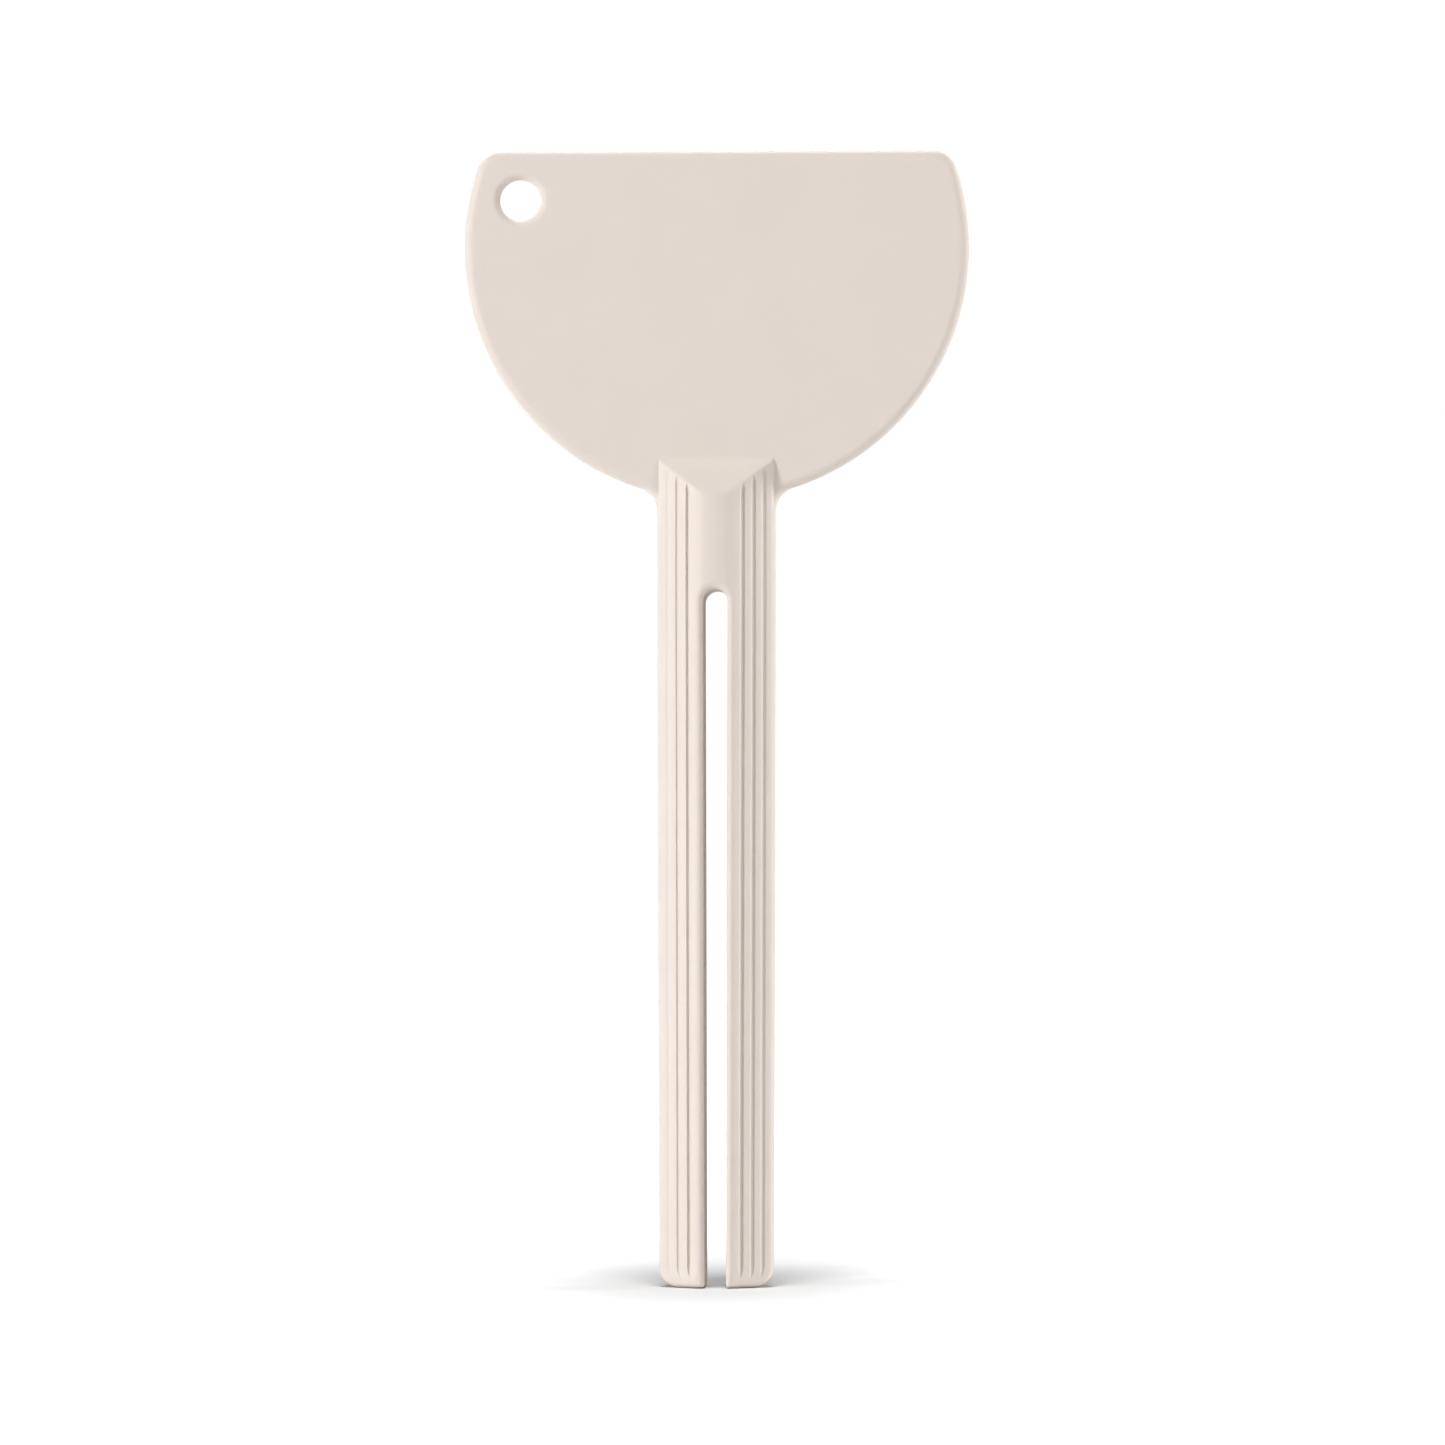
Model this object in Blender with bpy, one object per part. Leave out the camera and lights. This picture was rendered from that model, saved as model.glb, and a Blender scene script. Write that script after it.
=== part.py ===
"""Tube squeezer key, standing upright on the tips of its two prongs.

The key is built in three layers. A flat plate gives the whole outline: a bow to turn
the key by, with a hanging hole in one corner, and a tongue that runs down between the
shaft halves. A fluted shaft half is bonded into a shallow seat on each face of the plate.
One slot, open at the foot, goes through all three layers and leaves two prongs that lean
slightly towards each other and grip a tube's end.

Metres, +Z up, front towards -Y. The origin is on the ground, midway between the prongs.
"""

import math

import bmesh
import bpy

MM = 0.001

# Slot and shaft lengths, from the foot up
SLOT_LENGTH = 76.8 * MM
NECK_LENGTH = 10.5 * MM
SHOULDER_RUN = 4.0 * MM
SHOULDER_ON_BOW = 4.7 * MM

# Key plate
PLATE_THICKNESS = 2.4 * MM
PLATE_EDGE_RADIUS = 1.0 * MM
BOW_RADIUS = 27.8 * MM
BOW_TOP_ABOVE_CENTRE = 10.6 * MM
BOW_CORNER_RADIUS = 2.8 * MM
NECK_FILLET_RADIUS = 2.8 * MM

# Hanging hole, measured to its centre
HOLE_RADIUS = 2.3 * MM
HOLE_FROM_TOP = 5.3 * MM
HOLE_FROM_SIDE = 5.5 * MM
HOLE_EDGE_RADIUS = 0.8 * MM

# Shaft halves, with heights measured from the face of the plate
SHAFT_WIDTH = 13.0 * MM
CROWN_HEIGHT = 3.6 * MM
CROWN_WIDTH = 3.5 * MM
CROWN_DOME = 0.18 * MM
RIDGE_ROUNDING = 0.5 * MM
SIDE_WALL_HEIGHT = 0.3 * MM

# Seat that each shaft half is let into, with the film that bonds it and the room round it
SEAT_DEPTH = 0.3 * MM
BOND_LINE = 0.05 * MM
SEAT_CLEARANCE = 0.05 * MM

# Slot, as wide as this at its top, and how far the foot of each prong leans towards the other
SLOT_WIDTH = 2.7 * MM
SLOT_EDGE_RADIUS = 0.45 * MM
PRONG_LEAN = 0.15 * MM

# Grooves, the same on all four flanks
GROOVES_PER_FLANK = 3
GROOVE_PITCH = 1.13 * MM
GROOVE_FROM_SIDE = 1.15 * MM
GROOVE_WIDTH = 0.6 * MM
GROOVE_DEPTH = 0.3 * MM
GROOVE_END_HEIGHT = 1.15 * MM
GROOVE_RUN_OUT = 1.6 * MM

# Prong tips
TIP_CORNER_RADIUS = 2.3 * MM
TIP_INNER_RADIUS = 0.4 * MM
TIP_FACE_RADIUS = 1.4 * MM

# Coat
PLATE_COLOUR = (0.73, 0.67, 0.61)
SHAFT_COLOUR = (0.74, 0.68, 0.62)
COAT_ROUGHNESS = 0.45

# Places that follow from the sizes
SHAFT_HALF_WIDTH = SHAFT_WIDTH / 2
CROWN_HALF_WIDTH = CROWN_WIDTH / 2
SLOT_HALF_WIDTH = SLOT_WIDTH / 2
RIDGE_HEIGHT = CROWN_HEIGHT - CROWN_DOME
SEAT_HEIGHT = BOND_LINE - SEAT_DEPTH
SHOULDER_FOOT_Z = SLOT_LENGTH + NECK_LENGTH
SHOULDER_TOP_Z = SHOULDER_FOOT_Z + SHOULDER_RUN
BOW_CENTRE_Z = SHOULDER_TOP_Z - SHOULDER_ON_BOW + BOW_RADIUS
SLOT_END_CENTRE_Z = SLOT_LENGTH - SLOT_HALF_WIDTH

# How finely the round stretches are cut into facets, and the least turn that shows as an edge
BOW_STEPS = 30
CORNER_STEPS = 8
EDGE_STEPS = 4
HOLE_STEPS = 40
RUN_OUT_STEPS = 4
GROOVE_POINTS = 7
CROWN_POINTS = 5
CREASE_DEGREES = 32.0

# How far a cutter reaches past what it cuts, and how many times its own length the last
# stretch of a flare is drawn out, so that it crosses the face at a clear angle
CUTTER_REACH = 1.0 * MM
FLARE_OVERRUN = 4

# Points closer than this are one point
WELD_DISTANCE = 0.0001 * MM

# Share of a groove's depth at which its width is measured where it ends, so that it has one
LEAST_GROOVE_SHARE = 0.01

# Share of a wall that the rounding of one of its edges may take, and share of the neck
# fillet's turn, from the shaft up, where the plate's edge stays square beside the seat
MOST_ROUNDING = 0.45
NECK_SQUARE_SHARE = 0.25


def corner_inset(height, radius):
    """How far a rounded outside corner lies inside its wall, at a height above its foot."""
    if height >= radius:
        return 0.0
    return radius - math.sqrt(radius**2 - (radius - height) ** 2)


def lean(z):
    """How far a prong leans towards the other one at a height."""
    return PRONG_LEAN * max(1 - z / SLOT_END_CENTRE_Z, 0.0)


def tip_levels():
    """Heights of the rings that turn the prong tips, from the foot to where they run straight."""
    radius = max(TIP_CORNER_RADIUS, TIP_INNER_RADIUS, TIP_FACE_RADIUS)
    turns = [math.pi / 2 * step / CORNER_STEPS for step in range(CORNER_STEPS + 1)]
    return [radius * (1 - math.cos(turn)) for turn in turns]


def arc(centre, radius, start, end, steps):
    """Points along an arc in the plane of the plate, each with its direction from the centre."""
    found = []
    for step in range(steps + 1):
        angle = start + (end - start) * step / steps
        outward = (math.cos(angle), math.sin(angle))
        point = (centre[0] + radius * outward[0], centre[1] + radius * outward[1])
        found.append((point, outward))
    return found


def smooth_step(share):
    return share * share * (3 - 2 * share)


def right_side_of_plate(edge_radius):
    """The plate's outline from the foot up to the top, as (point, inward direction, edge rounding)."""
    outline = []
    for z in tip_levels() + [SLOT_END_CENTRE_Z]:
        x = SHAFT_HALF_WIDTH - lean(z) - corner_inset(z, TIP_CORNER_RADIUS)
        outline.append(((x, z), (-1.0, 0.0), 0.0))

    # The neck fillet touches the shaft's side and the bow's circle
    across = SHAFT_HALF_WIDTH + NECK_FILLET_RADIUS
    down = math.sqrt((BOW_RADIUS + NECK_FILLET_RADIUS) ** 2 - across**2)
    neck_centre = (across, BOW_CENTRE_Z - down)
    toward_bow = math.atan2(down, -across)
    neck = arc(neck_centre, NECK_FILLET_RADIUS, math.pi, toward_bow, CORNER_STEPS)
    for step, (point, away) in enumerate(neck):
        share = (step / CORNER_STEPS - NECK_SQUARE_SHARE) / (1 - NECK_SQUARE_SHARE)
        outline.append((point, away, edge_radius * smooth_step(max(share, 0.0))))

    # The corner arc touches the bow's circle from inside, and the flat top
    rise = BOW_TOP_ABOVE_CENTRE - BOW_CORNER_RADIUS
    run = math.sqrt((BOW_RADIUS - BOW_CORNER_RADIUS) ** 2 - rise**2)
    corner_start = math.atan2(rise, run)
    bow = arc((0.0, BOW_CENTRE_Z), BOW_RADIUS, toward_bow - math.pi, corner_start, BOW_STEPS)
    corner_centre = (run, BOW_CENTRE_Z + rise)
    corner = arc(corner_centre, BOW_CORNER_RADIUS, corner_start, math.pi / 2, CORNER_STEPS)
    for point, away in bow[1:] + corner[1:]:
        outline.append((point, (-away[0], -away[1]), edge_radius))
    return outline


def rounding(edge_radius):
    """Steps round a quarter circle from an edge's wall to its face, as (inset, sink below the face)."""
    turns = [math.pi / 2 * step / EDGE_STEPS for step in range(EDGE_STEPS + 1)]
    return [
        (edge_radius * (1 - math.cos(turn)), edge_radius * (1 - math.sin(turn)))
        for turn in turns
    ]


def flare(edge_radius):
    """Steps by which a cutter widens to round an edge, drawn out past the face, as (inset, sink)."""
    steps = rounding(edge_radius)
    (before_inset, before_sink), (last_inset, last_sink) = steps[-2:]
    overrun_inset = before_inset + FLARE_OVERRUN * (last_inset - before_inset)
    overrun_sink = before_sink + FLARE_OVERRUN * (last_sink - before_sink)
    return steps[:-1] + [(overrun_inset, overrun_sink)]


def lofted(rings):
    """A closed body through rings of as many points each, capped at both ends."""
    builder = bmesh.new()
    loops = [[builder.verts.new(point) for point in ring] for ring in rings]
    for lower, upper in zip(loops, loops[1:]):
        for here in range(len(lower)):
            after = (here + 1) % len(lower)
            builder.faces.new((lower[here], lower[after], upper[after], upper[here]))
    builder.faces.new(reversed(loops[0]))
    builder.faces.new(loops[-1])
    bmesh.ops.remove_doubles(builder, verts=builder.verts, dist=WELD_DISTANCE)
    bmesh.ops.recalc_face_normals(builder, faces=builder.faces)
    return builder


def placed(name, builder):
    """A new object in the scene, made of what the builder holds."""
    mesh = bpy.data.meshes.new(name)
    builder.to_mesh(mesh)
    builder.free()
    item = bpy.data.objects.new(name, mesh)
    bpy.context.scene.collection.objects.link(item)
    return item


def coat(name, colour):
    """The material of a piece: satin powder coat over light metal."""
    material = bpy.data.materials.new(name)
    material.use_nodes = True
    shader = material.node_tree.nodes["Principled BSDF"]
    shader.inputs["Base Color"].default_value = (*colour, 1.0)
    shader.inputs["Roughness"].default_value = COAT_ROUGHNESS
    shader.inputs["Metallic"].default_value = 0.0
    material.diffuse_color = (*colour, 1.0)
    return material


def shade(item, material):
    item.data.materials.append(material)
    item.data.shade_smooth()
    item.data.set_sharp_from_angle(angle=math.radians(CREASE_DEGREES))


def cut(item, cutter):
    modifier = item.modifiers.new(cutter.name, "BOOLEAN")
    modifier.operation = "DIFFERENCE"
    modifier.solver = "EXACT"
    modifier.object = cutter


def cutter_object(name, rings):
    cutter = placed(name, lofted(rings))
    cutter.hide_render = True
    cutter.display_type = "WIRE"
    return cutter


def hole_cutter():
    """A pin for the hanging hole, flared at both faces to round the hole's edges."""
    edge_radius = min(HOLE_EDGE_RADIUS, PLATE_THICKNESS * MOST_ROUNDING)
    rise = BOW_TOP_ABOVE_CENTRE - HOLE_FROM_TOP
    reach = math.sqrt((BOW_RADIUS - HOLE_FROM_SIDE) ** 2 - rise**2)
    centre = (-reach, BOW_CENTRE_Z + rise)
    half = PLATE_THICKNESS / 2
    front = [(-(half - sink), HOLE_RADIUS + inset) for inset, sink in flare(edge_radius)]
    front.append((-(half + CUTTER_REACH), front[-1][1]))
    back = [(-y, radius) for y, radius in front]
    rings = []
    for y, radius in front[::-1] + back:
        circle = arc(centre, radius, 0.0, math.tau, HOLE_STEPS)[:-1]
        rings.append([(x, y, z) for (x, z), _ in circle])
    return cutter_object("hanging_hole_cutter", rings)


def sharp_surface(x):
    """Height of the crown or flank above the plate's face, before ridges, grooves and tips."""
    x = abs(x)
    if x <= CROWN_HALF_WIDTH:
        return RIDGE_HEIGHT + CROWN_DOME * (1 - (x / CROWN_HALF_WIDTH) ** 2)
    down_flank = (x - CROWN_HALF_WIDTH) / (SHAFT_HALF_WIDTH - CROWN_HALF_WIDTH)
    return RIDGE_HEIGHT + (SIDE_WALL_HEIGHT - RIDGE_HEIGHT) * down_flank


def section_scales(z):
    """How far the section is drawn in at a height, across the shaft and away from its seat."""
    z = max(z, 0.0)
    across = 1 - (corner_inset(z, TIP_CORNER_RADIUS) + lean(z)) / SHAFT_HALF_WIDTH
    away = 1 - corner_inset(z, TIP_FACE_RADIUS) / (CROWN_HEIGHT - SEAT_HEIGHT)
    return across, away


def shaft_surface(x, z):
    across, away = section_scales(z)
    return SEAT_HEIGHT + (sharp_surface(x / across) - SEAT_HEIGHT) * away


def groove_profile(from_side, depth_share):
    """A groove across the right flank, from its outer lip to its inner lip, as (x, height)."""
    flank_run = SHAFT_HALF_WIDTH - CROWN_HALF_WIDTH
    flank_rise = RIDGE_HEIGHT - SIDE_WALL_HEIGHT
    flank_length = math.hypot(flank_run, flank_rise)
    along = (-flank_run / flank_length, flank_rise / flank_length)
    inward = (-along[1], along[0])
    middle_x = SHAFT_HALF_WIDTH - from_side
    middle = (middle_x, sharp_surface(middle_x))
    half_width = GROOVE_WIDTH / 2 * math.sqrt(max(depth_share, LEAST_GROOVE_SHARE))
    points = []
    for step in range(GROOVE_POINTS):
        share = 2 * step / (GROOVE_POINTS - 1) - 1
        depth = GROOVE_DEPTH * depth_share * (1 - share * share)
        x = middle[0] + along[0] * half_width * share + inward[0] * depth
        height = middle[1] + along[1] * half_width * share + inward[1] * depth
        points.append((x, height))
    return points


def groove_places():
    """Distances from the shaft's side to each groove's middle, as many as the flank holds."""
    flank_run = SHAFT_HALF_WIDTH - CROWN_HALF_WIDTH
    room = flank_run - GROOVE_FROM_SIDE - RIDGE_ROUNDING - GROOVE_WIDTH / 2
    count = min(GROOVES_PER_FLANK, int(room / GROOVE_PITCH) + 1)
    return [GROOVE_FROM_SIDE + GROOVE_PITCH * step for step in range(count)]


def groove_depth_share(z):
    """Share of a groove's full depth at a height: nothing at its end, all above its run-out."""
    share = min(max((z - GROOVE_END_HEIGHT) / GROOVE_RUN_OUT, 0.0), 1.0)
    return 1 - (1 - share) ** 2


def right_side_of_section(z):
    """The shaft half's section from its seat up to the crown's middle, as (x, height)."""
    profile = [(SHAFT_HALF_WIDTH, SEAT_HEIGHT), (SHAFT_HALF_WIDTH, SIDE_WALL_HEIGHT)]
    for from_side in groove_places():
        profile += groove_profile(from_side, groove_depth_share(z))

    # The ridge between flank and crown is rounded by a curve drawn towards its corner
    below_x = CROWN_HALF_WIDTH + RIDGE_ROUNDING
    above_x = CROWN_HALF_WIDTH - RIDGE_ROUNDING
    below = (below_x, sharp_surface(below_x))
    corner = (CROWN_HALF_WIDTH, RIDGE_HEIGHT)
    above = (above_x, sharp_surface(above_x))
    for step in range(EDGE_STEPS + 1):
        share = step / EDGE_STEPS
        weights = ((1 - share) ** 2, 2 * share * (1 - share), share**2)
        profile.append(
            tuple(
                sum(weight * point[axis] for weight, point in zip(weights, (below, corner, above)))
                for axis in (0, 1)
            )
        )
    for step in range(1, CROWN_POINTS + 1):
        x = above_x * (1 - step / CROWN_POINTS)
        profile.append((x, sharp_surface(x)))
    return profile


def section(z):
    """The shaft half's section at a height, as a ring of points with the seat on y = 0."""
    right = right_side_of_section(z)
    left = [(-x, height) for x, height in right[-2::-1]]
    across, away = section_scales(z)
    return [(x * across, -(height - SEAT_HEIGHT) * away, z) for x, height in right + left]


def shaft_half_builder():
    """A fluted bar from the foot to the shoulder, cut off by the slope that ends it on the bow."""
    run_out = [
        GROOVE_END_HEIGHT + GROOVE_RUN_OUT * step / RUN_OUT_STEPS
        for step in range(RUN_OUT_STEPS + 1)
    ]
    levels = sorted(tip_levels() + run_out + [SLOT_END_CENTRE_Z, SHOULDER_TOP_Z])
    builder = lofted([section(z) for z in levels])
    everything = list(builder.verts) + list(builder.edges) + list(builder.faces)
    found = bmesh.ops.bisect_plane(
        builder,
        geom=everything,
        dist=WELD_DISTANCE,
        plane_co=(0.0, SEAT_HEIGHT, SHOULDER_TOP_Z),
        plane_no=(0.0, -SHOULDER_RUN, CROWN_HEIGHT),
        clear_outer=True,
    )
    rim = [item for item in found["geom_cut"] if isinstance(item, bmesh.types.BMEdge)]
    bmesh.ops.edgeloop_fill(builder, edges=rim)
    bmesh.ops.recalc_face_normals(builder, faces=builder.faces)
    return builder


def slot_outline(widening):
    """The slot's outline, widened on all sides, from below the right foot round to the left one."""
    half_width = SLOT_HALF_WIDTH + widening
    right = []
    for z in [-CUTTER_REACH] + tip_levels():
        corner = corner_inset(max(z, 0.0), TIP_INNER_RADIUS)
        right.append((half_width - lean(z) + corner, z))
    centre = (0.0, SLOT_END_CENTRE_Z)
    end = [point for point, _ in arc(centre, half_width, 0.0, math.pi, 2 * CORNER_STEPS)]
    return right + end + [(-x, z) for x, z in right[::-1]]


def slot_cutter():
    """A blade for the slot through all three layers, flared where it leaves the two crowns."""
    half = PLATE_THICKNESS / 2
    front = []
    for inset, sink in flare(SLOT_EDGE_RADIUS):
        surface = [shaft_surface(x, z) for x, z in slot_outline(min(inset, SLOT_EDGE_RADIUS))]
        ring = slot_outline(inset)
        front.append([(x, -(half + height - sink), z) for (x, z), height in zip(ring, surface)])
    front.append([(x, -(half + CROWN_HEIGHT + CUTTER_REACH), z) for x, _, z in front[-1]])
    back = [[(x, -y, z) for x, y, z in ring] for ring in front]
    return cutter_object("slot_cutter", front[::-1] + back)


def seat_cutter(name, side):
    """A block that sinks one face of the plate where a shaft half is let in; side is -1 in front."""
    half_width = SHAFT_HALF_WIDTH + SEAT_CLEARANCE
    corners = [
        (-half_width, -CUTTER_REACH),
        (half_width, -CUTTER_REACH),
        (half_width, SHOULDER_TOP_Z + SEAT_CLEARANCE),
        (-half_width, SHOULDER_TOP_Z + SEAT_CLEARANCE),
    ]
    depths = (PLATE_THICKNESS / 2 - SEAT_DEPTH, PLATE_THICKNESS / 2 + CUTTER_REACH)
    return cutter_object(name, [[(x, side * y, z) for x, z in corners] for y in depths])


def key_plate():
    """The plate: rounded edges on the bow, square edges where the shaft halves cover it."""
    edge_radius = min(PLATE_EDGE_RADIUS, PLATE_THICKNESS * MOST_ROUNDING)
    right = right_side_of_plate(edge_radius)
    left = [((-x, z), (-inward[0], inward[1]), radius) for (x, z), inward, radius in right[::-1]]
    half = PLATE_THICKNESS / 2
    front = []
    for inset, sink in rounding(1.0):
        ring = []
        for (x, z), inward, radius in right + left:
            shift = inset * radius
            y = -(half - sink * radius)
            ring.append((x + inward[0] * shift, y, z + inward[1] * shift))
        front.append(ring)
    back = [[(x, -y, z) for x, y, z in ring] for ring in front]
    return placed("key_plate", lofted(front[::-1] + back))


def build_key():
    for item in list(bpy.data.objects):
        bpy.data.objects.remove(item, do_unlink=True)

    slot = slot_cutter()
    hole = hole_cutter()

    plate = key_plate()
    shade(plate, coat("plate_powder_coat", PLATE_COLOUR))
    cut(plate, hole)
    cut(plate, seat_cutter("front_seat_cutter", -1))
    cut(plate, seat_cutter("back_seat_cutter", 1))
    cut(plate, slot)

    # Both shaft halves have one shape, and the back one is turned round to face +Y
    seat = PLATE_THICKNESS / 2 + SEAT_HEIGHT
    front = placed("front_shaft_half", shaft_half_builder())
    front.location = (0.0, -seat, 0.0)
    back = bpy.data.objects.new("back_shaft_half", front.data.copy())
    bpy.context.scene.collection.objects.link(back)
    back.location = (0.0, seat, 0.0)
    back.rotation_euler = (0.0, 0.0, math.pi)
    shade(front, coat("front_shaft_powder_coat", SHAFT_COLOUR))
    shade(back, coat("back_shaft_powder_coat", SHAFT_COLOUR))
    for half in (front, back):
        half.parent = plate
        cut(half, slot)


build_key()
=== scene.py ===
"""Looks of the tube squeezer key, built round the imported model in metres, front towards -Y."""

import math

import bmesh
import bpy
import numpy as np
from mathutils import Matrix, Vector
from mathutils.geometry import delaunay_2d_cdt


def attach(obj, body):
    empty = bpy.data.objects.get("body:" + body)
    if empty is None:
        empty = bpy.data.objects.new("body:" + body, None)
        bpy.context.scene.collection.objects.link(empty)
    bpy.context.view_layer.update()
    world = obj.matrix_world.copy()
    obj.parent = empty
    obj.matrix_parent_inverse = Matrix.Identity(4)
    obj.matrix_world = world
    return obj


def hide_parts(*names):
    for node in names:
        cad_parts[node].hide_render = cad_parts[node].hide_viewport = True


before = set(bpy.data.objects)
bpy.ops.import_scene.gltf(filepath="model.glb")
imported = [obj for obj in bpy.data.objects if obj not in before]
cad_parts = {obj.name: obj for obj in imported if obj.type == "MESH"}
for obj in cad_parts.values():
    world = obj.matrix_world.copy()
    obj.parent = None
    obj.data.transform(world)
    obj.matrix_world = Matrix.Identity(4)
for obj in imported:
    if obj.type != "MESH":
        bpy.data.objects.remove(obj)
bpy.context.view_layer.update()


# Bow plate
# The real bow is the flat, D-shaped end of the key that the fingers turn. It is cast light metal,
# tumbled so that its rim and the hanging hole are well rounded, and sprayed with cream powder that
# is baked on. Its tang runs down between the two shaft halves, which hide it.

MM = 0.001

PLATE_HALF_THICKNESS = 1.2 * MM
RIM_RADIUS = 1.0 * MM
RIM_STEPS = 14
FACE_BORDER = 0.12 * MM

BOW_CENTRE_Z = 114.4 * MM
BOW_TOP_Z = 125.0 * MM
BOW_RADIUS = 27.8 * MM
BOW_CORNER_RADIUS = 2.8 * MM
BOW_STEPS = 110
CORNER_STEPS = 24

NECK_FILLET_RADIUS = 2.8 * MM
NECK_STEPS = 20
SHAFT_HALF_WIDTH = 6.5 * MM
TANG_HALF_WIDTH = 5.5 * MM
TANG_FOOT_Z = 80.0 * MM

HOLE_CENTRE_X = -21.66 * MM
HOLE_CENTRE_Z = 119.7 * MM
HOLE_RADIUS = 2.3 * MM
HOLE_RIM_RADIUS = 0.8 * MM
HOLE_STEPS = 96
CREASE_ANGLE = math.radians(40.0)

COAT_COLOURS = ((0.730, 0.654, 0.592, 1.0), (0.742, 0.668, 0.608, 1.0))
GLOSSIEST_ROUGHNESS = 0.54
MATTEST_ROUGHNESS = 0.66
COAT_IOR = 1.5
COAT_SPECULAR = 0.5
DRIFT_SIZE = 9.0 * MM
DRIFT_STOPS = (0.3, 0.7)
GLOSS_PATCH_SIZE = 3.0 * MM
PEEL_SIZE = 1.3 * MM
PEEL_HEIGHT = 0.010 * MM
GRAIN_SIZE = 0.22 * MM
GRAIN_HEIGHT = 0.002 * MM

# The neck fillet's circle touches the bow's circle and the side of the shaft
NECK_CENTRE_X = SHAFT_HALF_WIDTH + NECK_FILLET_RADIUS
NECK_DROP = math.sqrt((BOW_RADIUS + NECK_FILLET_RADIUS) ** 2 - NECK_CENTRE_X**2)
NECK_CENTRE_Z = BOW_CENTRE_Z - NECK_DROP
NECK_TO_BOW = math.atan2(NECK_DROP, -NECK_CENTRE_X)


def arc(centre_x, centre_z, radius, start, end, steps):
    """Points along an arc, as (x, z, away x, away z), the last two pointing away from its centre."""
    points = []
    for step in range(steps + 1):
        turn = start + (end - start) * step / steps
        away_x = math.cos(turn)
        away_z = math.sin(turn)
        points.append((centre_x + radius * away_x, centre_z + radius * away_z, away_x, away_z))
    return points


def rounded_rim(radius):
    """The profile over a rounded rim from the front face to the back one, as (distance in, y)."""
    front = [(radius + FACE_BORDER, -PLATE_HALF_THICKNESS)]
    for step in range(RIM_STEPS, -1, -1):
        turn = math.pi / 2 * step / RIM_STEPS
        inward = radius * (1 - math.cos(turn))
        sink = radius * (1 - math.sin(turn))
        front.append((inward, sink - PLATE_HALF_THICKNESS))
    return front + [(inward, -y) for inward, y in reversed(front)]


def bow_outline():
    """The plate's outline from the tang's foot up its right side and down its left one."""
    right = [(TANG_HALF_WIDTH, TANG_FOOT_Z, -1.0, 1.0)]
    right.append((TANG_HALF_WIDTH, NECK_CENTRE_Z - NECK_FILLET_RADIUS, -1.0, 0.0))
    right += arc(
        NECK_CENTRE_X, NECK_CENTRE_Z, NECK_FILLET_RADIUS, math.pi, NECK_TO_BOW, NECK_STEPS
    )
    rise = BOW_TOP_Z - BOW_CENTRE_Z - BOW_CORNER_RADIUS
    run = math.sqrt((BOW_RADIUS - BOW_CORNER_RADIUS) ** 2 - rise**2)
    corner_start = math.atan2(rise, run)
    rim = arc(0.0, BOW_CENTRE_Z, BOW_RADIUS, NECK_TO_BOW - math.pi, corner_start, BOW_STEPS)[1:]
    rim += arc(
        run, BOW_CENTRE_Z + rise, BOW_CORNER_RADIUS, corner_start, math.pi / 2, CORNER_STEPS
    )[1:]
    right += [(x, z, -away_x, -away_z) for x, z, away_x, away_z in rim]
    left = [(-x, z, -inward_x, inward_z) for x, z, inward_x, inward_z in reversed(right)]
    return right + left


def band(builder, outline, profile):
    """A closed band round an outline, as rings that follow the profile from front to back."""
    rings = []
    for inward, y in profile:
        ring = [
            builder.verts.new((x + inward_x * inward, y, z + inward_z * inward))
            for x, z, inward_x, inward_z in outline
        ]
        rings.append(ring)
    for near, far in zip(rings, rings[1:]):
        for here in range(len(near)):
            after = (here + 1) % len(near)
            builder.faces.new((near[here], near[after], far[after], far[here]))
    return rings


def ring_edges(builder, ring):
    """The edges between the neighbours in a closed ring of corners."""
    return [builder.edges.get((ring[here - 1], ring[here])) for here in range(len(ring))]


def finished_piece(name, builder, material):
    """A smooth-shaded object with the coat on it, whose inner corners stay sharp."""
    bmesh.ops.recalc_face_normals(builder, faces=builder.faces)
    mesh = bpy.data.meshes.new(name)
    builder.to_mesh(mesh)
    builder.free()
    mesh.materials.append(material)
    mesh.shade_smooth()
    mesh.set_sharp_from_angle(angle=CREASE_ANGLE)
    piece = bpy.data.objects.new(name, mesh)
    bpy.context.scene.collection.objects.link(piece)
    return piece


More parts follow.
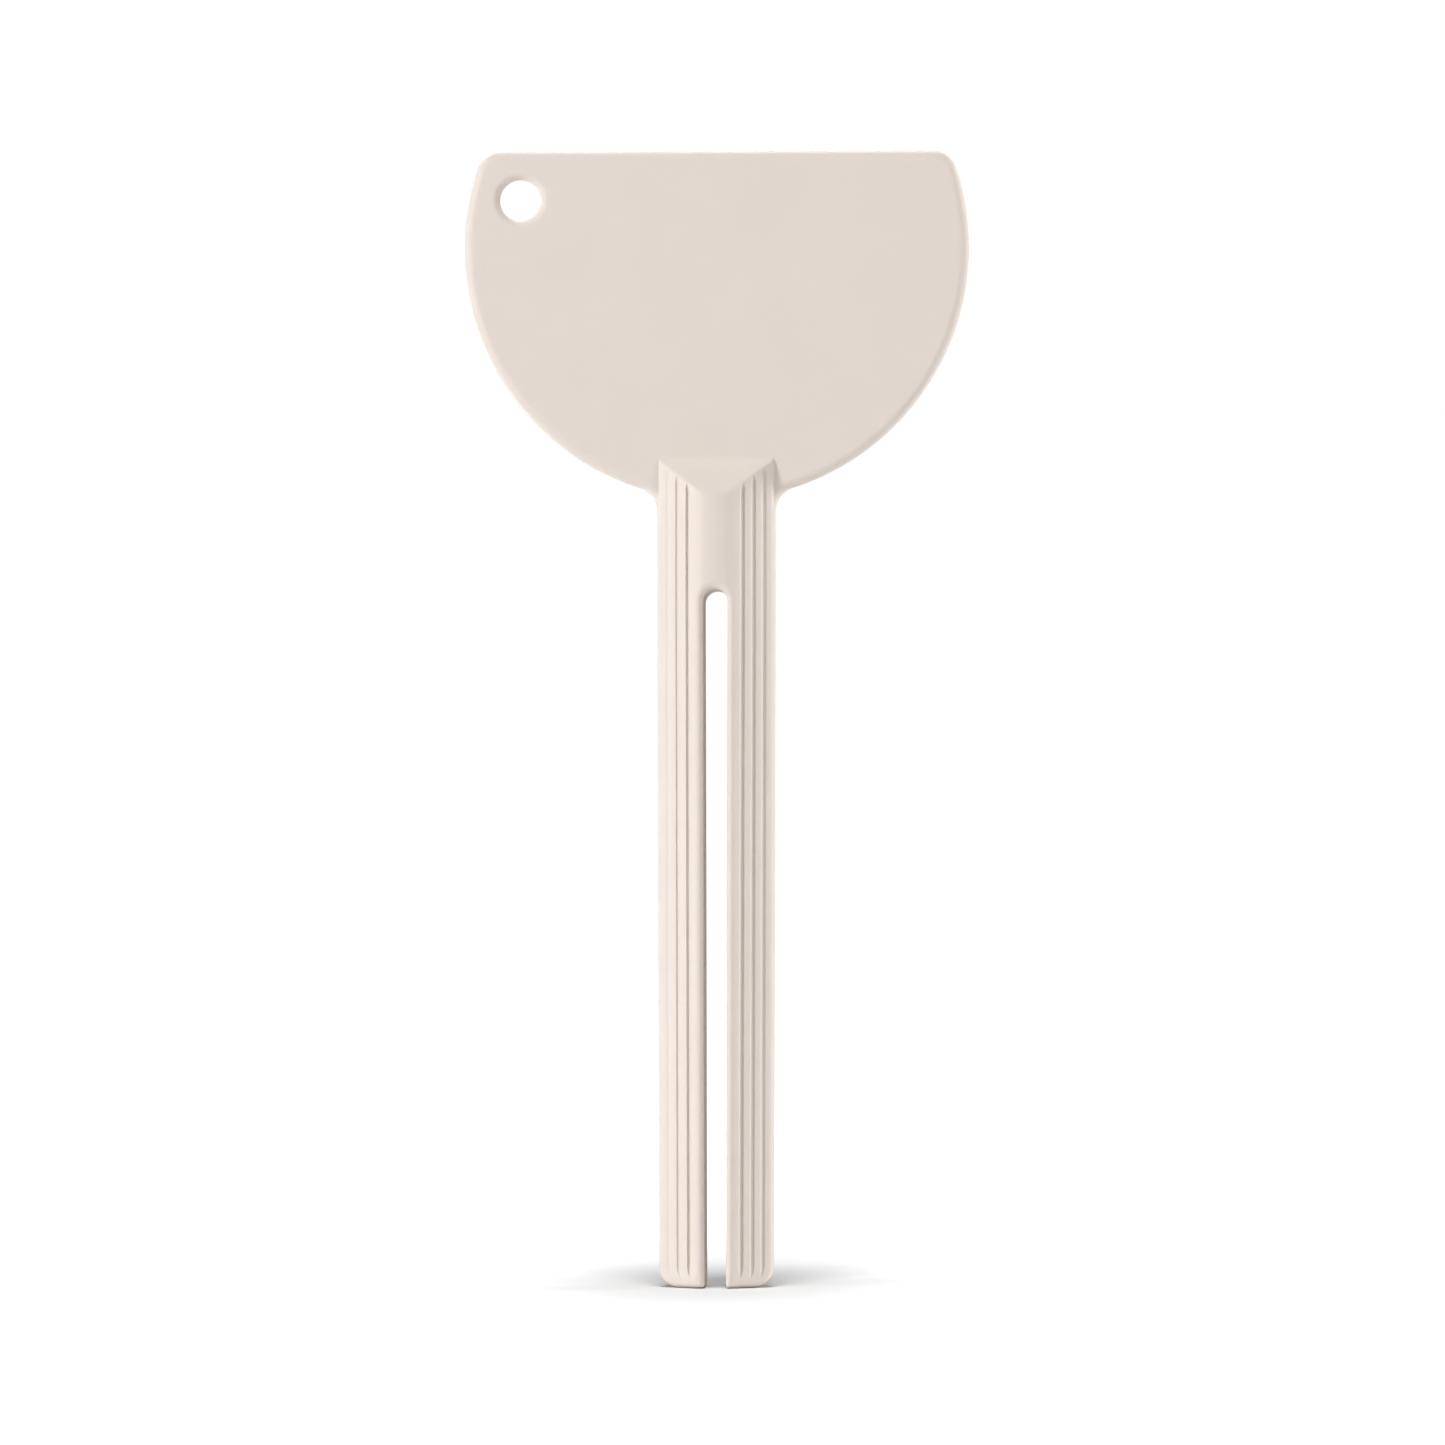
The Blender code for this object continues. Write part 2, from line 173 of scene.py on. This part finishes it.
def powder_coat():
    """Cream satin powder coat: a fine orange peel, a finer grain, and a slight drift of colour."""
    material = bpy.data.materials.new("cream_powder_coat")
    material.use_nodes = True
    nodes = material.node_tree.nodes
    links = material.node_tree.links
    shader = nodes["Principled BSDF"]
    shader.inputs["IOR"].default_value = COAT_IOR
    shader.inputs["Specular IOR Level"].default_value = COAT_SPECULAR

    place = nodes.new("ShaderNodeTexCoord")

    def noise(size, detail):
        texture = nodes.new("ShaderNodeTexNoise")
        texture.inputs["Scale"].default_value = 1.0 / size
        texture.inputs["Detail"].default_value = detail
        links.new(place.outputs["Object"], texture.inputs["Vector"])
        return texture.outputs["Fac"]

    drift = nodes.new("ShaderNodeValToRGB")
    for end, stop, colour in zip(drift.color_ramp.elements, DRIFT_STOPS, COAT_COLOURS):
        end.position = stop
        end.color = colour
    links.new(noise(DRIFT_SIZE, detail=3.0), drift.inputs["Fac"])
    links.new(drift.outputs["Color"], shader.inputs["Base Color"])

    gloss = nodes.new("ShaderNodeMapRange")
    gloss.inputs["To Min"].default_value = GLOSSIEST_ROUGHNESS
    gloss.inputs["To Max"].default_value = MATTEST_ROUGHNESS
    links.new(noise(GLOSS_PATCH_SIZE, detail=4.0), gloss.inputs["Value"])
    links.new(gloss.outputs["Result"], shader.inputs["Roughness"])

    peel = nodes.new("ShaderNodeBump")
    peel.inputs["Distance"].default_value = PEEL_HEIGHT
    links.new(noise(PEEL_SIZE, detail=1.0), peel.inputs["Height"])
    grain = nodes.new("ShaderNodeBump")
    grain.inputs["Distance"].default_value = GRAIN_HEIGHT
    links.new(noise(GRAIN_SIZE, detail=2.0), grain.inputs["Height"])
    links.new(peel.outputs["Normal"], grain.inputs["Normal"])
    links.new(grain.outputs["Normal"], shader.inputs["Normal"])
    return material


coat = powder_coat()

bow_builder = bmesh.new()
outer_rings = band(bow_builder, bow_outline(), rounded_rim(RIM_RADIUS))
hole_circle = arc(HOLE_CENTRE_X, HOLE_CENTRE_Z, HOLE_RADIUS, 0.0, math.tau, HOLE_STEPS)[:-1]
hole_rings = band(bow_builder, hole_circle, rounded_rim(HOLE_RIM_RADIUS))
for outer, inner in ((outer_rings[0], hole_rings[0]), (outer_rings[-1], hole_rings[-1])):
    face_border = ring_edges(bow_builder, outer) + ring_edges(bow_builder, inner)
    bmesh.ops.triangle_fill(bow_builder, use_beauty=True, edges=face_border)

bow_plate = finished_piece("bow_plate", bow_builder, coat)
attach(bow_plate, "root")
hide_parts("key_plate")


# Fluted shaft halves
# The real shaft is one casting with the bow, 13 mm wide and 9.6 mm deep, with a narrow crown,
# three flutes on each flank for grip, and a slot that leaves two prongs. Here a front and a back
# half close round the plate's tang and blend into its faces under the same baked powder coat.

SHAFT_TOP_Z = 93.0 * MM
CROWN_TOP = 4.8 * MM
CROWN_DOME = 0.18 * MM
CROWN_HALF_WIDTH = 1.75 * MM
RIDGE_BLEND = 0.30 * MM
HIP_PLACE = 6.33 * MM
HIP_HEIGHT = 1.4 * MM
HIP_RADIUS = 0.35 * MM
LEDGE_STEEPNESS = 5.0

FLUTE_MIDDLES = (3.01 * MM, 4.18 * MM, 5.29 * MM)
FLUTE_HALF_WIDTH = 0.28 * MM
LEFT_FLUTE_DEPTHS = (0.39 * MM, 0.26 * MM, 0.08 * MM)
RIGHT_FLUTE_DEPTHS = (0.32 * MM, 0.29 * MM, 0.24 * MM)
FLUTE_END_Z = 1.15 * MM
FLUTE_RUN_OUT = 1.6 * MM
FLUTE_TOP_FADE = 0.8 * MM
FLUTE_LEAST_SHARE = 0.01

SLOT_HALF_WIDTH = 1.38 * MM
SLOT_TOP_Z = 76.62 * MM
SLOT_EDGE_RADIUS = 0.85 * MM
PRONG_LEAN = 0.18 * MM
SLOT_CENTRE_Z = SLOT_TOP_Z - SLOT_HALF_WIDTH

TIP_CORNER_RADIUS = 2.3 * MM
TIP_INNER_RADIUS = 0.4 * MM
TIP_FACE_RADIUS = 1.4 * MM
TIP_BASE = 0.95 * MM

SHOULDER_FOOT_Z = 87.2 * MM
SHOULDER_FALL = 0.92
SHOULDER_BLEND = 0.25 * MM
ROOT_BLEND = 0.5 * MM
HIP_ROOT_BLEND = 0.15 * MM
ROOT_BORDER = 0.8 * MM
SKIN = 0.002 * MM
DEEPEST_DIVE = 0.1 * MM

# The grid is finer where the shape turns: these are its rows' and columns' pitches and bounds
CREST_PITCH = 0.12 * MM
PRONG_CREST_PITCH = 0.07 * MM
FLANK_PITCH = 0.06 * MM
TIP_PITCH = 0.08 * MM
ARCH_PITCH = 0.15 * MM
ROOT_PITCH = 0.09 * MM
BEND_PITCH = 0.7 * MM
NECK_PITCH = 1.0 * MM
PRONG_PITCH = 5.0 * MM

SLOT_EDGE_STEPS = 8
HIP_STEPS = 10
LEDGE_STEPS = 8
ROOT_STEPS = 14
TIP_STEPS = 10
ARCH_STEPS = 28

TIP_START = 0.6 * MM
TIP_END_Z = 2.9 * MM
PRONG_START_Z = 5.0 * MM
PRONG_END_Z = 70.0 * MM
ARCH_RADIUS = 2.3 * MM
ARCH_MARGIN = 0.05 * MM
ARCH_TOP_Z = 78.4 * MM

WHOLE_HULL = 0
SAME_POINT = 1e-5
WELD_DISTANCE = 0.00005 * MM


def corner_inset(distance, radius):
    """How far a rounded corner falls back, at a distance from the wall that it turns into."""
    left = radius - np.clip(distance, 0.0, radius)
    return radius - np.sqrt(np.maximum(radius**2 - left**2, 0.0))


def smooth_min(first, second, blend):
    """The lower of two surfaces, with the crease between them rounded over the blend's width."""
    overlap = np.maximum(blend - np.abs(first - second), 0.0) / blend
    return np.minimum(first, second) - overlap**2 * blend / 4


def smooth_max(first, second, blend):
    """The higher of two surfaces, with the crease between them filled over the blend's width."""
    return -smooth_min(-first, -second, blend)


def lean(z):
    """How far each prong has come in towards the middle at a height, most at its foot."""
    return PRONG_LEAN * np.maximum(1 - z / SLOT_CENTRE_Z, 0.0)


def shaft_side(z):
    """How far the shaft's side is from the key's middle."""
    return SHAFT_HALF_WIDTH - lean(z) - corner_inset(z, TIP_CORNER_RADIUS)


def plate_face(x, z):
    """Height of the plate's face above the middle plane, with its rim that runs on down the shaft."""
    beside_shaft = shaft_side(z) - x
    beside_neck = np.hypot(x - NECK_CENTRE_X, z - NECK_CENTRE_Z) - NECK_FILLET_RADIUS
    inside_bow = BOW_RADIUS - np.hypot(x, z - BOW_CENTRE_Z)
    on_neck = np.arctan2(z - NECK_CENTRE_Z, x - NECK_CENTRE_X) > NECK_TO_BOW
    distance = np.where(on_neck, beside_neck, inside_bow)
    distance = np.where(z < NECK_CENTRE_Z, beside_shaft, distance)
    return PLATE_HALF_THICKNESS - corner_inset(distance, RIM_RADIUS)


def shaft_face(x, z, on_left):
    """Height of the shaft and its shoulder above the middle plane, at a distance x from the middle."""
    drawn_in = 1 - corner_inset(z, TIP_CORNER_RADIUS) / SHAFT_HALF_WIDTH
    station = (x + lean(z)) / drawn_in
    crown = CROWN_TOP - CROWN_DOME * (station / CROWN_HALF_WIDTH) ** 2
    fall = (CROWN_TOP - CROWN_DOME - HIP_HEIGHT) / (HIP_PLACE - CROWN_HALF_WIDTH)
    flank = HIP_HEIGHT + fall * (HIP_PLACE - station)
    face = smooth_min(crown, flank, RIDGE_BLEND)
    shoulder = CROWN_TOP - SHOULDER_FALL * (z - SHOULDER_FOOT_Z)

    run = np.clip((z - FLUTE_END_Z) / FLUTE_RUN_OUT, 0.0, 1.0)
    share = (1 - (1 - run) ** 2) * np.clip((shoulder - face) / FLUTE_TOP_FADE, 0.0, 1.0)
    reach = FLUTE_HALF_WIDTH * np.sqrt(np.maximum(share, FLUTE_LEAST_SHARE))
    flutes = zip(FLUTE_MIDDLES, LEFT_FLUTE_DEPTHS, RIGHT_FLUTE_DEPTHS)
    for middle, left_depth, right_depth in flutes:
        across = np.clip((station - middle) / reach, -1.0, 1.0)
        depth = np.where(on_left, left_depth, right_depth)
        face = face - depth * share * (1 - across**2) ** 2

    face = face - corner_inset(HIP_PLACE - station, HIP_RADIUS)
    beyond = np.maximum(station - HIP_PLACE, 0.0)
    face = np.where(beyond > 0, HIP_HEIGHT - HIP_RADIUS - LEDGE_STEEPNESS * beyond, face)
    face = smooth_min(face, shoulder, SHOULDER_BLEND)

    away = 1 - corner_inset(z, TIP_FACE_RADIUS) / (CROWN_TOP - TIP_BASE)
    face = TIP_BASE + (face - TIP_BASE) * away

    in_slot_part = z < SLOT_CENTRE_Z
    slot_side = SLOT_HALF_WIDTH - lean(z) + corner_inset(z, TIP_INNER_RADIUS)
    round_slot = np.hypot(x, z - SLOT_CENTRE_Z) - SLOT_HALF_WIDTH
    from_slot = np.where(in_slot_part, x - slot_side, round_slot)
    return face - corner_inset(from_slot, SLOT_EDGE_RADIUS)


def key_face(x, z, on_left):
    """The shaft blended into the plate's face, and diving under that face beyond the blend."""
    shaft = shaft_face(x, z, on_left)
    plate = plate_face(x, z)
    to_hip = np.clip((x - CROWN_HALF_WIDTH) / (HIP_PLACE - CROWN_HALF_WIDTH), 0.0, 1.0)
    blend = ROOT_BLEND + (HIP_ROOT_BLEND - ROOT_BLEND) * to_hip
    dive = np.clip(plate - blend - shaft, 0.0, DEEPEST_DIVE)
    return smooth_max(shaft, plate, blend) - SKIN - dive


def spread(start, end, pitch):
    """Even places from start to end, about a pitch apart, without the end."""
    return list(np.linspace(start, end, max(round((end - start) / pitch), 1), endpoint=False))


def turned(start, radius, steps):
    """Places that crowd towards the start, as the facets of a rounded corner do."""
    return [start + radius * (1 - math.cos(math.pi / 2 * step / steps)) for step in range(steps)]


def shaft_grid():
    """Points of the half's face on a straight grid, as (station across, z), right side only."""
    crest = spread(0.0, ARCH_RADIUS, CREST_PITCH)
    prong_crest = turned(SLOT_HALF_WIDTH, SLOT_EDGE_RADIUS, SLOT_EDGE_STEPS)
    prong_crest += spread(SLOT_HALF_WIDTH + SLOT_EDGE_RADIUS, ARCH_RADIUS, PRONG_CREST_PITCH)
    flank = spread(ARCH_RADIUS, HIP_PLACE - HIP_RADIUS, FLANK_PITCH)
    hip = [HIP_PLACE - HIP_RADIUS]
    hip += [HIP_PLACE - offset for offset in turned(0.0, HIP_RADIUS, HIP_STEPS)[::-1]]
    ledge = SHAFT_HALF_WIDTH - HIP_PLACE
    hip += [SHAFT_HALF_WIDTH - offset for offset in turned(0.0, ledge, LEDGE_STEPS)[::-1]]
    root = list(np.linspace(SHAFT_HALF_WIDTH, SHAFT_HALF_WIDTH + ROOT_BORDER, ROOT_STEPS + 1))[1:]

    prong_rows = turned(0.0, TIP_START, TIP_STEPS)
    prong_rows += spread(TIP_START, TIP_END_Z, TIP_PITCH)
    prong_rows += spread(TIP_END_Z, PRONG_START_Z, BEND_PITCH)
    prong_rows += spread(PRONG_START_Z, PRONG_END_Z, PRONG_PITCH)
    prong_rows += spread(PRONG_END_Z, SLOT_CENTRE_Z, NECK_PITCH)
    arch_rows = spread(SLOT_CENTRE_Z, ARCH_TOP_Z, ARCH_PITCH)
    neck_rows = spread(ARCH_TOP_Z, NECK_CENTRE_Z, NECK_PITCH)
    root_rows = spread(NECK_CENTRE_Z, SHAFT_TOP_Z, ROOT_PITCH) + [SHAFT_TOP_Z]

    points = []
    for z in prong_rows:
        points += [(x, z) for x in prong_crest + flank + hip]
    for z in arch_rows:
        points += [(x, z) for x in flank + hip]
        points += [
            (x, z) for x in crest
            if math.hypot(x, z - SLOT_CENTRE_Z) > ARCH_RADIUS + ARCH_MARGIN
        ]
    for radius in prong_crest + [ARCH_RADIUS]:
        quarter = arc(0.0, SLOT_CENTRE_Z, radius, 0.0, math.pi / 2, ARCH_STEPS)
        points += [(x, z) for x, z, _, _ in quarter]
    for z in neck_rows + root_rows:
        points += [(x, z) for x in crest + flank + hip]
    for z in root_rows:
        points += [(x, z) for x in root]
    return points


def placed(station, z):
    """Where a grid point really lies across the key, once the tips are rounded and the prongs lean."""
    slot_side = SLOT_HALF_WIDTH - lean(z) + corner_inset(z, TIP_INNER_RADIUS)
    share = (station - SLOT_HALF_WIDTH) / (SHAFT_HALF_WIDTH - SLOT_HALF_WIDTH)
    on_prong = slot_side + (shaft_side(z) - slot_side) * share
    x = np.where(z < SLOT_CENTRE_Z, on_prong, station)

    # Beyond the shaft's side the grid reaches no further than the plate's own outline
    up_neck = np.clip(z - NECK_CENTRE_Z, 0.0, NECK_FILLET_RADIUS)
    outline = NECK_CENTRE_X - np.sqrt(NECK_FILLET_RADIUS**2 - up_neck**2) - 2 * SKIN
    reach = np.clip(outline - SHAFT_HALF_WIDTH, 0.0, ROOT_BORDER)
    beyond = (station - SHAFT_HALF_WIDTH) / ROOT_BORDER
    return np.where(station > SHAFT_HALF_WIDTH, SHAFT_HALF_WIDTH + reach * beyond, x)


def shaft_half_builder():
    """The front half: its face from the grid, walls down to the middle plane, and a flat inner side."""
    right = shaft_grid()
    grid = right + [(-x, z) for x, z in right if x > WELD_DISTANCE]
    flat_points = [Vector((x / MM, z / MM)) for x, z in grid]
    points, _, triangles, _, _, _ = delaunay_2d_cdt(flat_points, [], [], WHOLE_HULL, SAME_POINT)
    station = np.array([point.x for point in points]) * MM
    z = np.array([point.y for point in points]) * MM
    x = np.sign(station) * placed(np.abs(station), z)
    height = key_face(np.abs(x), z, station < 0)

    builder = bmesh.new()
    corners = [builder.verts.new((px, -py, pz)) for px, py, pz in zip(x, height, z)]
    for triangle in triangles:
        across = abs(sum(station[index] for index in triangle) / 3)
        up = sum(z[index] for index in triangle) / 3
        from_slot = math.hypot(across, max(up - SLOT_CENTRE_Z, 0.0)) - SLOT_HALF_WIDTH
        beside_neck = across > SHAFT_HALF_WIDTH and up < NECK_CENTRE_Z
        if from_slot > 0 and not beside_neck:
            builder.faces.new([corners[index] for index in triangle])
    bmesh.ops.remove_doubles(builder, verts=builder.verts, dist=WELD_DISTANCE)
    loose = [corner for corner in builder.verts if not corner.link_faces]
    bmesh.ops.delete(builder, geom=loose, context="VERTS")

    border = [edge for edge in builder.edges if len(edge.link_faces) == 1]
    walls = bmesh.ops.extrude_edge_only(builder, edges=border)["geom"]
    for corner in walls:
        if isinstance(corner, bmesh.types.BMVert):
            corner.co.y = 0.0
    inner_border = [
        edge for edge in walls
        if isinstance(edge, bmesh.types.BMEdge) and len(edge.link_faces) == 1
    ]
    bmesh.ops.triangle_fill(builder, use_beauty=False, edges=inner_border)
    return builder


front_half = finished_piece("front_fluted_shaft", shaft_half_builder(), coat)
back_half = bpy.data.objects.new("back_fluted_shaft", front_half.data.copy())
bpy.context.scene.collection.objects.link(back_half)
back_half.rotation_euler = (0.0, 0.0, math.pi)
for shaft_half, cad_node in ((front_half, "front_shaft_half"), (back_half, "back_shaft_half")):
    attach(shaft_half, "root")
    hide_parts(cad_node)


# Floor
# Seamless white paper, laid flat. A painted glow shows it as plain white, apart from the key's soft
# shadow:
# partly the shadow that the lamps cast on it, partly painted shade where the glow fades near the key.

FLOOR_HALF_SIDE = 3.0
PAPER_COLOUR = (0.62, 0.62, 0.62, 1.0)

# How strongly the paper's painted glow whitens it away from the key, and how far off, to the front and
# the back, that is reached. To the sides it is reached in a shorter way, narrowed by this factor.
# Nearer the key the glow fades, which paints shade there.
LIFT_STRENGTH = 0.97
LIFT_REACH = 0.12
LIFT_NARROWING = 2.0


def seen_ray(nodes, links):
    """1 on rays that show the surroundings: to the camera, mirrored by a gloss, or through glass."""
    ray = nodes.new("ShaderNodeLightPath")
    seen = ray.outputs["Is Camera Ray"]
    for kind in ("Is Glossy Ray", "Is Transmission Ray"):
        either = nodes.new("ShaderNodeMath")
        either.operation = "MAXIMUM"
        links.new(seen, either.inputs[0])
        links.new(ray.outputs[kind], either.inputs[1])
        seen = either.outputs["Value"]
    return seen


def white_paper():
    """Matt white paper with a painted glow that shows it whiter than the lamps make it, fading to
    painted shade near the key.
    """
    material = bpy.data.materials.new("white_paper")
    material.use_nodes = True
    nodes = material.node_tree.nodes
    links = material.node_tree.links
    shader = nodes["Principled BSDF"]
    shader.inputs["Base Color"].default_value = PAPER_COLOUR
    shader.inputs["Roughness"].default_value = 1.0
    shader.inputs["Specular IOR Level"].default_value = 0.0
    shader.inputs["Emission Color"].default_value = (1.0, 1.0, 1.0, 1.0)

    # The distance from the key's foot counts double to the sides, so the glow fades in an oval round
    # the key: painted shade there, on top of the lamps' shadow
    spot = nodes.new("ShaderNodeNewGeometry")
    narrowed = nodes.new("ShaderNodeVectorMath")
    narrowed.operation = "MULTIPLY"
    narrowed.inputs[1].default_value = (LIFT_NARROWING, 1.0, 1.0)
    links.new(spot.outputs["Position"], narrowed.inputs[0])
    from_key = nodes.new("ShaderNodeVectorMath")
    from_key.operation = "LENGTH"
    links.new(narrowed.outputs["Vector"], from_key.inputs[0])
    painted_glow = nodes.new("ShaderNodeMapRange")
    painted_glow.interpolation_type = "SMOOTHSTEP"
    painted_glow.inputs["From Max"].default_value = LIFT_REACH
    painted_glow.inputs["To Max"].default_value = LIFT_STRENGTH
    links.new(from_key.outputs["Value"], painted_glow.inputs["Value"])

    # The painted glow shows only on rays that see the surroundings
    lift = nodes.new("ShaderNodeMath")
    lift.operation = "MULTIPLY"
    links.new(seen_ray(nodes, links), lift.inputs[0])
    links.new(painted_glow.outputs["Result"], lift.inputs[1])
    links.new(lift.outputs["Value"], shader.inputs["Emission Strength"])
    return material


floor_corners = [
    (-FLOOR_HALF_SIDE, -FLOOR_HALF_SIDE, 0.0),
    (FLOOR_HALF_SIDE, -FLOOR_HALF_SIDE, 0.0),
    (FLOOR_HALF_SIDE, FLOOR_HALF_SIDE, 0.0),
    (-FLOOR_HALF_SIDE, FLOOR_HALF_SIDE, 0.0),
]
floor_mesh = bpy.data.meshes.new("paper_floor")
floor_mesh.from_pydata(floor_corners, [], [(0, 1, 2, 3)])
floor_mesh.materials.append(white_paper())
floor = bpy.data.objects.new("paper_floor", floor_mesh)
bpy.context.scene.collection.objects.link(floor)


# Light
# A white tent that is slightly brighter in front, with four strip lamps that stand on the floor
# round the key, the strongest to its left, and a softbox that hangs overhead.

TENT_FRONT = 0.11
TENT_BACK = 0.08
TENT_TURN = 0.4
AIM_HEIGHT = 0.07

# The height of each lamp's middle, its distance from the key and its size, in metres
SHORT_STRIP = {"height": 0.175, "distance": 1.20, "width": 0.10, "tall": 0.35}
TALL_STRIP = {"height": 0.32, "distance": 1.20, "width": 0.12, "tall": 0.65}
OVERHEAD_BOX = {"height": 0.66, "distance": 0.17, "width": 0.20, "tall": 0.24}
BACK_BOX = {"height": 1.05, "distance": 0.69, "width": 0.10, "tall": 0.30}
PAPER_BOX = {"height": 0.589, "distance": 0.34, "width": 0.26, "tall": 0.12}


def white_tent():
    """A world that lights the key dimly from all round and shows as plain white."""
    tent = bpy.data.worlds.new("white_tent")
    tent.use_nodes = True
    nodes = tent.node_tree.nodes
    links = tent.node_tree.links
    background = nodes["Background"]
    background.inputs["Color"].default_value = (1.0, 1.0, 1.0, 1.0)

    direction = nodes.new("ShaderNodeTexCoord")
    parts = nodes.new("ShaderNodeSeparateXYZ")
    links.new(direction.outputs["Generated"], parts.inputs["Vector"])
    glow = nodes.new("ShaderNodeMapRange")
    glow.interpolation_type = "SMOOTHSTEP"
    glow.inputs["From Min"].default_value = -TENT_TURN
    glow.inputs["From Max"].default_value = TENT_TURN
    glow.inputs["To Min"].default_value = TENT_FRONT
    glow.inputs["To Max"].default_value = TENT_BACK
    links.new(parts.outputs["Y"], glow.inputs["Value"])

    level = nodes.new("ShaderNodeMapRange")
    links.new(glow.outputs["Result"], level.inputs["To Min"])
    links.new(seen_ray(nodes, links), level.inputs["Value"])
    links.new(level.outputs["Result"], background.inputs["Strength"])
    return tent


def softbox(name, azimuth, power, height, distance, width, tall):
    """A rectangular lamp that faces the key, at an azimuth in degrees from the front to the right."""
    lamp = bpy.data.lights.new(name, "AREA")
    lamp.shape = "RECTANGLE"
    lamp.size = width
    lamp.size_y = tall
    lamp.energy = power
    box = bpy.data.objects.new(name, lamp)
    bpy.context.scene.collection.objects.link(box)
    turn = math.radians(azimuth)
    box.location = (distance * math.sin(turn), -distance * math.cos(turn), height)
    toward = Vector((0.0, 0.0, AIM_HEIGHT)) - box.location
    box.rotation_euler = toward.to_track_quat("-Z", "Y").to_euler()
    return box


def light_only(lamp, lit):
    """Let a lamp light these pieces alone. All the others still cast their shadows in its light."""
    receivers = bpy.data.collections.new(lamp.name + "_receivers")
    for piece in lit:
        receivers.objects.link(piece)
    lamp.light_linking.receiver_collection = receivers


bpy.context.scene.world = white_tent()

softbox("left_strip", azimuth=-59.0, power=9.6, **SHORT_STRIP)
softbox("left_back_strip", azimuth=-110.0, power=1.4, **SHORT_STRIP)
softbox("right_front_strip", azimuth=60.0, power=3.5, **TALL_STRIP)
softbox("right_strip", azimuth=102.0, power=7.3, **TALL_STRIP)
softbox("overhead_softbox", azimuth=0.0, power=1.36, **OVERHEAD_BOX)

# High behind the key, so that its back isn't dull and its top rim shines
back_light = softbox("back_softbox", azimuth=180.0, power=5.0, **BACK_BOX)
light_only(back_light, (bow_plate, front_half, back_half))

# This one sets how strong the key's shadow is on the paper
paper_light = softbox("paper_softbox", azimuth=0.0, power=3.36, **PAPER_BOX)
light_only(paper_light, (floor,))


# Camera
# It stands slightly to the key's right and looks up a little from below its middle. At the key's
# distance it takes in 159.1 mm of width.

VIEW_AZIMUTH = math.radians(2.6)
VIEW_ELEVATION = math.radians(-1.24)
VIEW_DISTANCE = 0.80
VIEW_TARGET = Vector((0.00064, 0.0, 0.06206))
VIEW_WIDTH = 0.1591

camera_data = bpy.data.cameras.new("camera")
camera_data.lens = camera_data.sensor_width * VIEW_DISTANCE / VIEW_WIDTH
camera_data.dof.use_dof = False
camera = bpy.data.objects.new("camera", camera_data)
bpy.context.scene.collection.objects.link(camera)
toward_camera = Vector(
    (
        math.cos(VIEW_ELEVATION) * math.sin(VIEW_AZIMUTH),
        -math.cos(VIEW_ELEVATION) * math.cos(VIEW_AZIMUTH),
        math.sin(VIEW_ELEVATION),
    )
)
camera.location = VIEW_TARGET + toward_camera * VIEW_DISTANCE
camera.rotation_euler = (-toward_camera).to_track_quat("-Z", "Y").to_euler()
bpy.context.scene.camera = camera

bpy.context.scene.view_settings.view_transform = "Standard"
